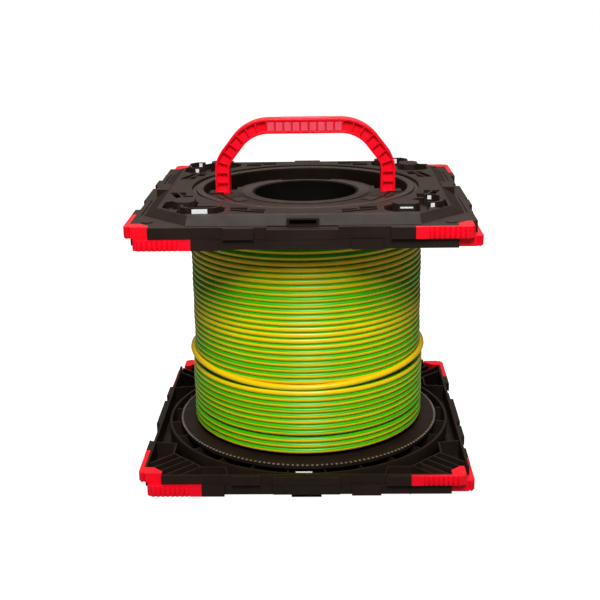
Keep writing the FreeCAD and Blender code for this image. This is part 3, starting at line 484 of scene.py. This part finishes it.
PAD_STEP = 10.5 * MM
PAD_HALF = 4.2 * MM
PAD_NEAR = 3.5 * MM  # a pad's depth runs from here to there, either side of the handle's middle
PAD_FAR = 11.2 * MM
PAD_TOP = 3.0 * MM  # below the top of the handle
PAD_BOTTOM = 14.8 * MM


def grip_pads(material):
    """Soft pads between the grip's ribs, in the front and back pockets."""
    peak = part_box("handle_bow")[1].z
    top = peak - PAD_TOP
    bottom = peak - PAD_BOTTOM
    blocks = []
    for number in range(-4, 5):
        middle = number * PAD_STEP
        for front, back in ((-PAD_FAR, -PAD_NEAR), (PAD_NEAR, PAD_FAR)):
            blocks.append(block(middle - PAD_HALF, middle + PAD_HALF, front, back, bottom, top))
    add_piece("grip_pads", blocks, material, "handle", 0.5 * MM)


SUNK = 0.2 * MM  # how far raised detail starts below the hub floor
PANEL_RISE = 0.9 * MM
PANEL_RADII = ((88.0 * MM, 104.0 * MM), (108.0 * MM, 113.0 * MM))
PANEL_ANGLES = ((-39.0, -26.0), (-24.0, -11.0))  # at the front right, mirrored to the front left
LIP_RISE = 0.8 * MM
LIP_INNER = 67.6 * MM
LIP_OUTER = 80.5 * MM
LIP_OUTER_AT_CHANNEL = 73.0 * MM
CHANNEL_ANGLES = (65.0, 115.0)  # where the handle's channel passes behind the bore


def hub_relief(material):
    """Raised panels on the hub floor, and the lip round its bore, narrower beside the handle's channel."""
    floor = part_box("core_tube")[1].z
    bottom = floor - SUNK
    blocks = []
    for mirrored in (False, True):
        for first, last in PANEL_ANGLES:
            begin, end = (-180.0 - last, -180.0 - first) if mirrored else (first, last)
            for inner, outer in PANEL_RADII:
                blocks += ring_of_sectors(inner, outer, begin, end, bottom, floor + PANEL_RISE, 6)
    add_piece("hub_panels", blocks, material, "spool", 0.0)
    first, last = CHANNEL_ANGLES
    top = floor + LIP_RISE
    lip = ring_of_sectors(LIP_INNER, LIP_OUTER, last, first + 360.0, bottom, top, 84)
    lip += ring_of_sectors(LIP_INNER, LIP_OUTER_AT_CHANNEL, first, last, bottom, top, 14)
    add_piece("bore_lip", lip, material, "spool", 0.0)


TOOTH_COUNT = 180
TOOTH_ANGLE = 0.8  # degrees that a tooth spans
TOOTH_RISE = 0.7 * MM
TOOTH_INNER = 2.6 * MM  # in from the flange's edge
TOOTH_OUTER = 0.2 * MM


def flange_teeth(material):
    """Fine teeth round the edges of both flanges, on the sides that face the wire."""
    lower, upper = [corner.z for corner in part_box("wire_inner_turns")]
    for name, level, rise in (("lower_flange", lower, TOOTH_RISE), ("upper_flange", upper, -TOOTH_RISE)):
        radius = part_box(name)[1].x
        low, high = sorted((level - rise * 0.3, level + rise))
        blocks = []
        for number in range(TOOTH_COUNT):
            angle = number * 360.0 / TOOTH_COUNT
            blocks.append(
                sector(radius - TOOTH_INNER, radius - TOOTH_OUTER, angle, angle + TOOTH_ANGLE, low, high))
        add_piece(name + "_teeth", blocks, material, "spool", 0.0)


def guard_clip(material):
    """Small pale clip inside the lower guard ring, at the front."""
    left, right = -12.8 * MM, 7.2 * MM
    front, back = -182.9 * MM, -178.3 * MM
    clip = block(left, right, front, back, 33.0 * MM, 37.2 * MM)
    add_piece("guard_clip", [clip], material, "base", 0.3 * MM)


# ---------------------------------------------------------------- build

make_camera()
make_studio()
make_floor()

# dark and light ends of each colour, then smooth and rough ends of its gloss
black = moulded(
    "black_moulding", (0.0150, 0.0085, 0.0058), (0.0220, 0.0130, 0.0092), (0.42, 0.55), shine=0.14)
black_smooth = moulded(
    "black_ring_moulding", (0.024, 0.0145, 0.0105), (0.033, 0.021, 0.0155), (0.38, 0.5), shine=0.2)
red = moulded(
    "red_moulding", (0.93, 0.0003, 0.012), (1.0, 0.0006, 0.02), (0.34, 0.46),
    grain_height=0.00002, shine=0.25)
grip = moulded("grip_rubber", (0.80, 0.02, 0.05), (0.9, 0.035, 0.07), (0.5, 0.62))
pad_rubber = moulded(
    "pad_rubber", (0.86, 0.05, 0.09), (0.95, 0.10, 0.15), (0.5, 0.62),
    grain_scale=900.0, grain_height=0.0003)
# light grey, far paler than the black moulding, so that the flange teeth show as light ticks along the
# edges
pale_tooth_grey = moulded("pale_grey_tooth_moulding", (0.16, 0.13, 0.11), (0.3, 0.26, 0.23), (0.4, 0.5))
# painted shade: a near-black moulding, darker than the black plastic, stands for the shade deep inside the
# core tube's bore
bore_shade = moulded("black_bore_painted_shade", (0.004, 0.003, 0.0025), (0.006, 0.0045, 0.004), (0.6, 0.7), shine=0.05)
pale = moulded("pale_moulding", (0.85, 0.84, 0.85), (0.93, 0.92, 0.93), (0.35, 0.5))
bearing = moulded("bearing_plastic", (0.10, 0.10, 0.10), (0.14, 0.14, 0.14), (0.25, 0.35))
dark_steel = metal("blackened_steel", (0.10, 0.095, 0.09), (0.2, 0.19, 0.18), (0.3, 0.5))
steel = metal("zinc_plated_steel", (0.5, 0.5, 0.52), (0.66, 0.66, 0.68), (0.25, 0.4))
brass = metal("turned_brass", (0.62, 0.45, 0.16), (0.78, 0.6, 0.25), (0.25, 0.4))
wire = insulation()

PAINTS = {
    "black_plastic": black,
    "ring_plastic": black_smooth,
    "red_plastic": red,
    "grip_rubber": grip,
    "pale_plastic": pale,
    "bearing_plastic": bearing,
    "dark_steel": dark_steel,
    "steel": steel,
    "brass": brass,
    "wire_insulation": wire,
}
SLOT_OF = {part["node"]: part["material_slot"] for part in frame["record"]["subparts"]}
# widths of the rounded edges
SOFTENED = {"handle_bow": 0.25 * MM, "handle_grip_insert": 0.4 * MM}
for end in ("base", "top"):
    SOFTENED[end + "_plate"] = 0.8 * MM
    SOFTENED.update({end + "_bumper_" + corner: 0.6 * MM for corner in "abcd"})
for end in ("lower", "upper"):
    SOFTENED.update({end + "_hub_cap": 0.4 * MM, end + "_retaining_ring": 0.3 * MM})

for name, node in frame["nodes"].items():
    paint(node, PAINTS[SLOT_OF[name]])
# the core tube takes the near-black painted shade of its bore
paint(frame["nodes"]["core_tube"], bore_shade)
for name, width in SOFTENED.items():
    soften(frame["nodes"][name], width)

wind_wire(wire)
grip_pads(pad_rubber)
hub_relief(black_smooth)
# the flange teeth are coloured light grey
flange_teeth(pale_tooth_grey)
guard_clip(pale)
